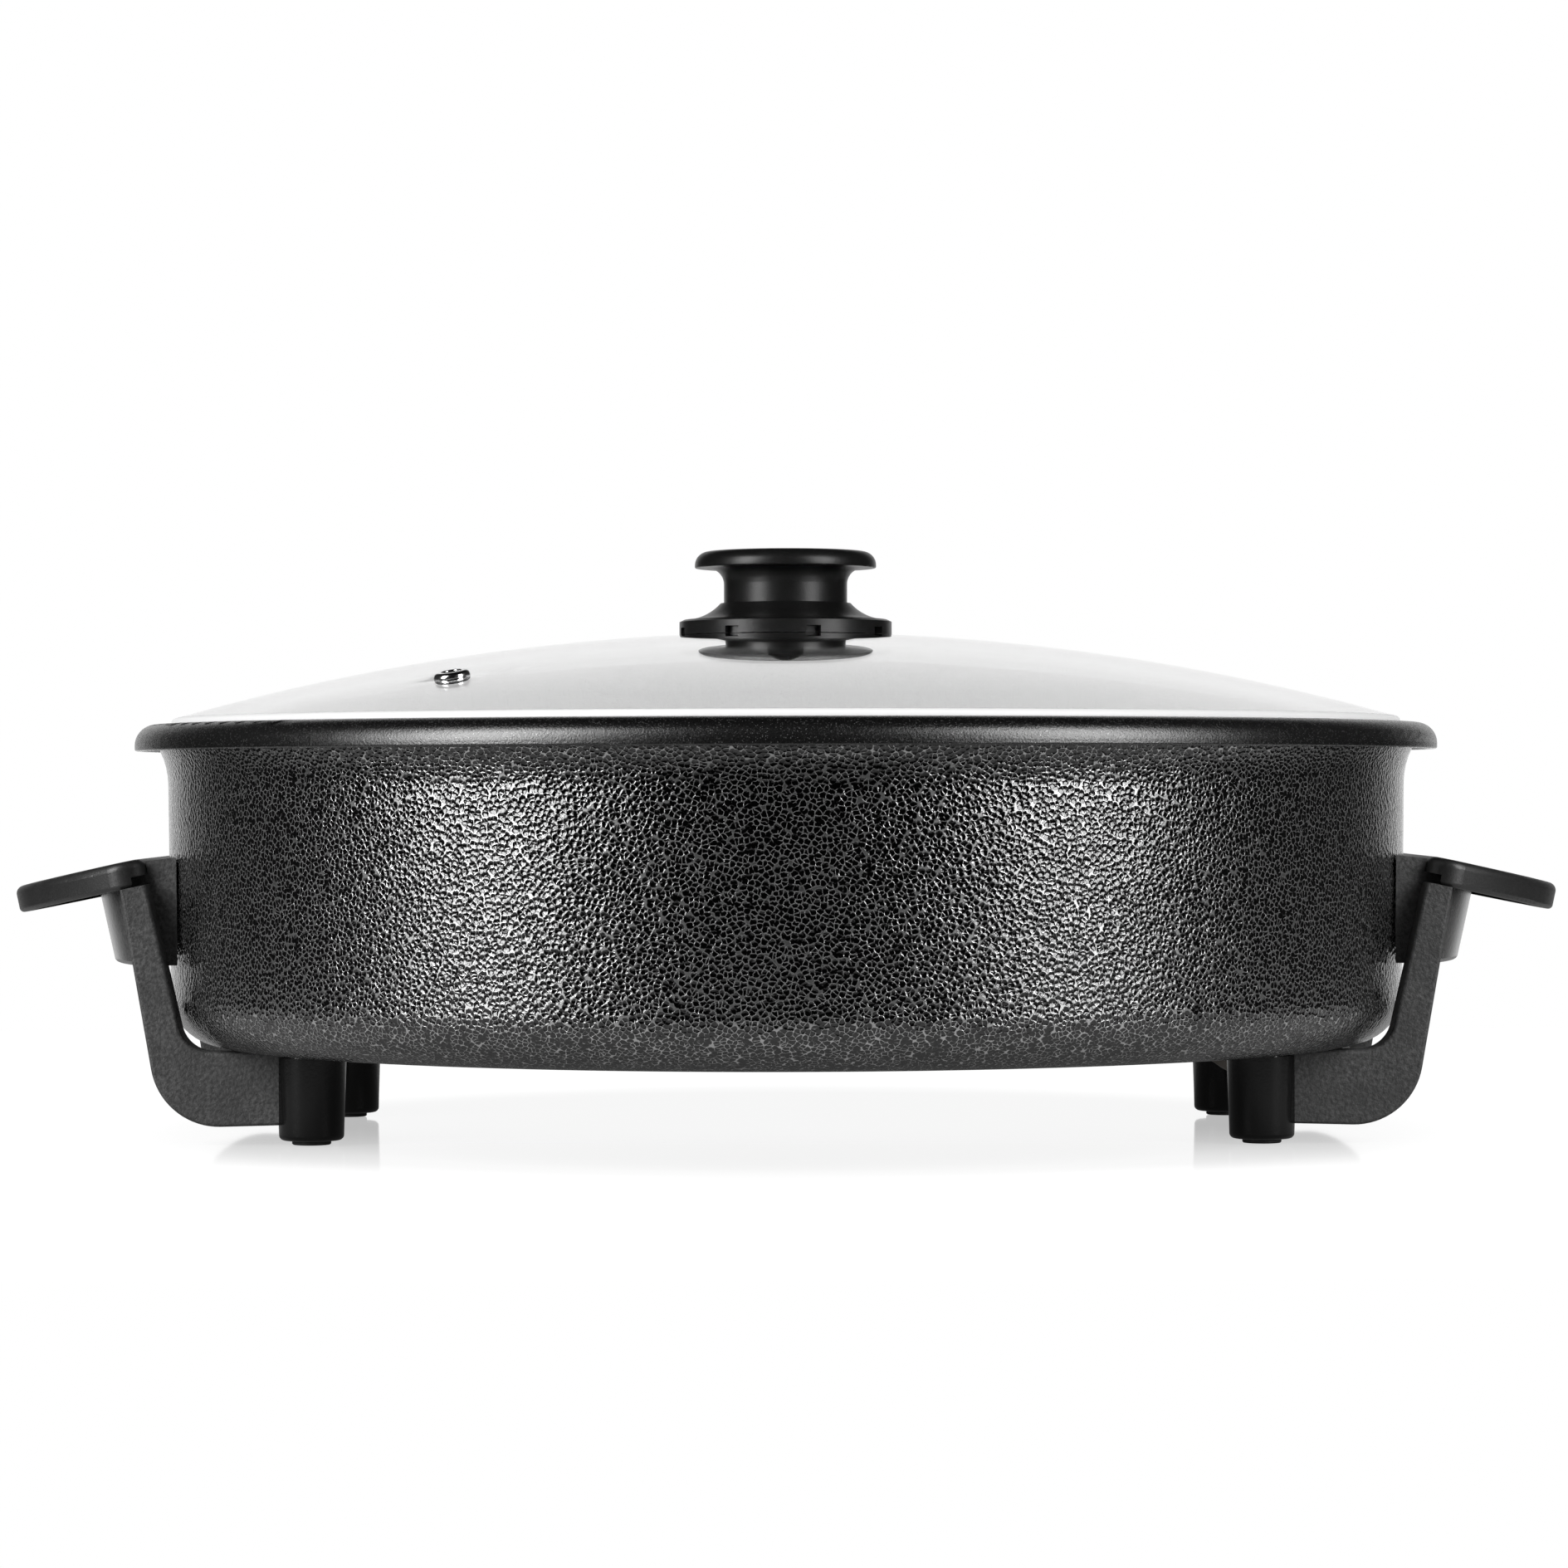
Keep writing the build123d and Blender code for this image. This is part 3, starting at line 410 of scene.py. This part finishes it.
def bracket_material():
    """Phenolic with grained arms and a smooth guard, both in a grey that is painted sheen, and smooth black
    feet.
    """
    name = "bracket_plastic"
    made, tree, shader, place, bump = phenolic(name, **PLASTICS[name])
    foot, smooth = bracket_zones(tree, place)
    grained = shader.inputs["Roughness"].links[0].from_socket
    grain_and_painted_sheen = shader.inputs["Base Color"].links[0].from_socket
    # Arms and guard keep the mottled grey, which is painted sheen; the feet get their own black.
    feed(
        tree,
        shader,
        Base_Color=blend_colour(tree, foot, grain_and_painted_sheen, grey(FOOT_GREY)),
        Roughness=blend_value(tree, smooth, grained, SMOOTH_ROUGHNESS),
    )
    feed(tree, bump, Strength=blend_value(tree, smooth, PHENOLIC_BUMP, SMOOTH_BUMP))
    return made


def metal(name, colour, roughness, grain_size):
    """Plain metal with a slightly uneven surface."""
    made, tree, shader, place = material(name)
    cloud = noise(tree, place, grain_size, detail=4.0, roughness=0.6).outputs["Fac"]
    dark = toned(colour, METAL_DARK_SHARE)
    least, most = roughness
    feed(
        tree,
        shader,
        Base_Color=blend_colour(tree, steps(tree, cloud, CLOUD_RANGE), dark, colour),
        Metallic=1.0,
        Roughness=steps(tree, cloud, CLOUD_RANGE, most, least),
    )
    return made


def soft(name, colour, roughness, grain_size):
    """Matt rubber, silicone or unglazed ceramic."""
    made, tree, shader, place = material(name)
    grain = noise(tree, place, grain_size, detail=3.0).outputs["Fac"]
    pale = toned(colour, SOFT_PALE_SHARE)
    least, most = roughness - SOFT_ROUGHNESS_SPREAD, roughness + SOFT_ROUGHNESS_SPREAD
    feed(
        tree,
        shader,
        Base_Color=blend_colour(tree, steps(tree, grain, CLOUD_RANGE), colour, pale),
        Roughness=steps(tree, grain, CLOUD_RANGE, least, most),
        Normal=bump_node(tree, grain, SOFT_BUMP, SOFT_RELIEF).outputs[0],
    )
    return made


def glass_material():
    """Clear toughened glass with a ground edge, which lets the lamps' light through."""
    made, tree, shader, place = material("lid_clear_glass")
    x, y = parts_of(tree, place)[:2]
    edge = (GLASS_EDGE - GLASS_EDGE_BLEND, GLASS_EDGE + GLASS_EDGE_BLEND)
    ground = steps(tree, length(tree, x, y), edge)
    feed(
        tree,
        shader,
        Base_Color=blend_colour(tree, ground, GLASS_COLOUR, grey(GROUND_GREY)),
        Roughness=calc(tree, "MULTIPLY", ground, GROUND_ROUGHNESS),
        IOR=GLASS_IOR,
        Transmission_Weight=calc(tree, "SUBTRACT", 1.0, calc(tree, "MULTIPLY", ground, GROUND_OPAQUE_SHARE)),
    )
    clear = node(tree, "ShaderNodeBsdfTransparent", {"Color": grey(GLASS_SHADOW_GREY)})
    lamp_ray = node(tree, "ShaderNodeLightPath").outputs["Is Shadow Ray"]
    both = node(tree, "ShaderNodeMixShader", {0: lamp_ray, 1: shader.outputs[0], 2: clear.outputs[0]})
    finish_with(tree, both)
    return made


def dress():
    """Gives every CAD node the material of its record slot."""
    finishes = {name: phenolic(name, **PLASTICS[name])[0] for name in ("grip_plastic", "knob_plastic")}
    finishes.update({name: metal(name, **values) for name, values in METALS.items()})
    finishes.update({name: soft(name, **values) for name, values in SOFTS.items()})
    finishes["pan"] = pan_material()
    finishes["bracket_plastic"] = bracket_material()
    finishes["lid_glass"] = glass_material()
    for part in frame["record"]["subparts"]:
        for slot in frame["nodes"][part["node"]].material_slots:
            slot.material = finishes[part["material_slot"]]


def floor_material():
    """White gloss with a painted shadow under the object, that mirrors the object faintly, less towards the
    front and far from the object.
    """
    made, tree, shader, place = material("floor_white")
    tree.nodes.remove(shader)
    path, seen = light_path(tree)
    x, y = parts_of(tree, place)[:2]
    radius = length(tree, x, y)
    # Painted shade: the table's glow, as mirrored in the object, is darker under the object.
    shade = steps(tree, radius, SHADE_RANGE, SHADE_LEAST, 1.0)
    bright = calc(tree, "MULTIPLY", steps(tree, y, FRONT_RANGE, 0.0, FRONT_LEVEL), shade)
    mirrored = calc(tree, "MULTIPLY", bright, path["Is Glossy Ray"])
    # Painted shadow: the white glow is dimmer under the object.
    white = steps(tree, radius, PAINTED_SHADOW_RANGE, PAINTED_SHADOW_WHITE, 1.0)
    matt = node(tree, "ShaderNodeBsdfDiffuse", {"Color": grey(FLOOR_GREY)})
    glow = node(tree, "ShaderNodeEmission", {"Strength": blend_value(tree, seen, mirrored, white)})
    base = node(tree, "ShaderNodeAddShader", {0: matt.outputs[0], 1: glow.outputs[0]})
    fade = calc(tree, "POWER", steps(tree, y, MIRROR_Y_RANGE), MIRROR_POWER)
    fade = calc(tree, "MULTIPLY", fade, steps(tree, radius, MIRROR_RADIUS_RANGE, 1.0, 0.0))
    share = calc(tree, "MULTIPLY", calc(tree, "MULTIPLY", fade, MIRROR_SHARE), path["Is Camera Ray"])
    mirror = node(tree, "ShaderNodeBsdfGlossy", {"Color": grey(1.0), "Roughness": MIRROR_ROUGHNESS})
    both = node(tree, "ShaderNodeMixShader", {0: share, 1: base.outputs[0], 2: mirror.outputs[0]})
    finish_with(tree, both)
    return made


def floor():
    """The table that the object stands on."""
    corners = [
        (-FLOOR_HALF_WIDTH, FLOOR_FRONT, FLOOR_LEVEL),
        (FLOOR_HALF_WIDTH, FLOOR_FRONT, FLOOR_LEVEL),
        (FLOOR_HALF_WIDTH, FLOOR_BACK, FLOOR_LEVEL),
        (-FLOOR_HALF_WIDTH, FLOOR_BACK, FLOOR_LEVEL),
    ]
    mesh = bpy.data.meshes.new("floor")
    mesh.from_pydata(corners, [], [(0, 1, 2, 3)])
    mesh.materials.append(floor_material())
    made = bpy.data.objects.new("floor", mesh)
    bpy.context.scene.collection.objects.link(made)


def softbox(name, angle, power):
    """A soft lamp at an angle right of the camera, aimed at the middle of the object."""
    lamp = bpy.data.lights.new(name, "AREA")
    lamp.shape = "RECTANGLE"
    lamp.size = LAMP_WIDTH
    lamp.size_y = LAMP_LENGTH
    lamp.energy = power
    made = bpy.data.objects.new(name, lamp)
    turn = math.radians(angle)
    made.location = (LAMP_DISTANCE * math.sin(turn), -LAMP_DISTANCE * math.cos(turn), LAMP_HEIGHT)
    aim = Vector((0.0, 0.0, LAMP_AIM_HEIGHT)) - made.location
    made.rotation_euler = aim.to_track_quat("-Z", "Y").to_euler()
    made.visible_camera = False
    bpy.context.scene.collection.objects.link(made)


def world():
    """White to the camera and through glass. Mirrored, it is white behind and dark in front and overhead."""
    made = bpy.data.worlds.new("studio")
    made.use_nodes = True
    tree = made.node_tree
    path, seen = light_path(tree)
    y, z = parts_of(tree, node(tree, "ShaderNodeTexCoord").outputs["Generated"])[1:3]
    behind = steps(tree, y, BEHIND_RANGE, BEHIND_LEAST, 1.0)
    ahead = steps(tree, y, AHEAD_RANGE, AHEAD_LEAST, 1.0)
    overhead = steps(tree, z, OVERHEAD_RANGE, 1.0, OVERHEAD_LEAST)
    mirrored = calc(tree, "MULTIPLY", calc(tree, "MULTIPLY", behind, ahead), overhead)
    unseen = blend_value(tree, path["Is Glossy Ray"], FILL_LEVEL, mirrored)
    feed(tree, tree.nodes["Background"], Color=grey(1.0), Strength=blend_value(tree, seen, unseen, 1.0))
    bpy.context.scene.world = made


def camera():
    """The camera in front of the object, level, with a slight roll."""
    lens = bpy.data.cameras.new("camera")
    lens.sensor_width = SENSOR_WIDTH_MM
    lens.lens = SENSOR_WIDTH_MM * FOCAL_PX / PICTURE_PX
    lens.clip_end = CAMERA_REACH
    made = bpy.data.objects.new("camera", lens)
    upright = Matrix.Rotation(math.radians(UPRIGHT_TURN), 4, "X")
    roll = Matrix.Rotation(-math.radians(CAMERA_ROLL), 4, "Z")
    made.matrix_world = Matrix.Translation((CAMERA_SHIFT, -CAMERA_DISTANCE, CAMERA_HEIGHT)) @ upright @ roll
    bpy.context.scene.collection.objects.link(made)
    bpy.context.scene.camera = made


dress()
floor()
for lamp_name, lamp_values in LAMPS.items():
    softbox(lamp_name, **lamp_values)
world()
camera()
bpy.context.scene.view_settings.view_transform = "Standard"
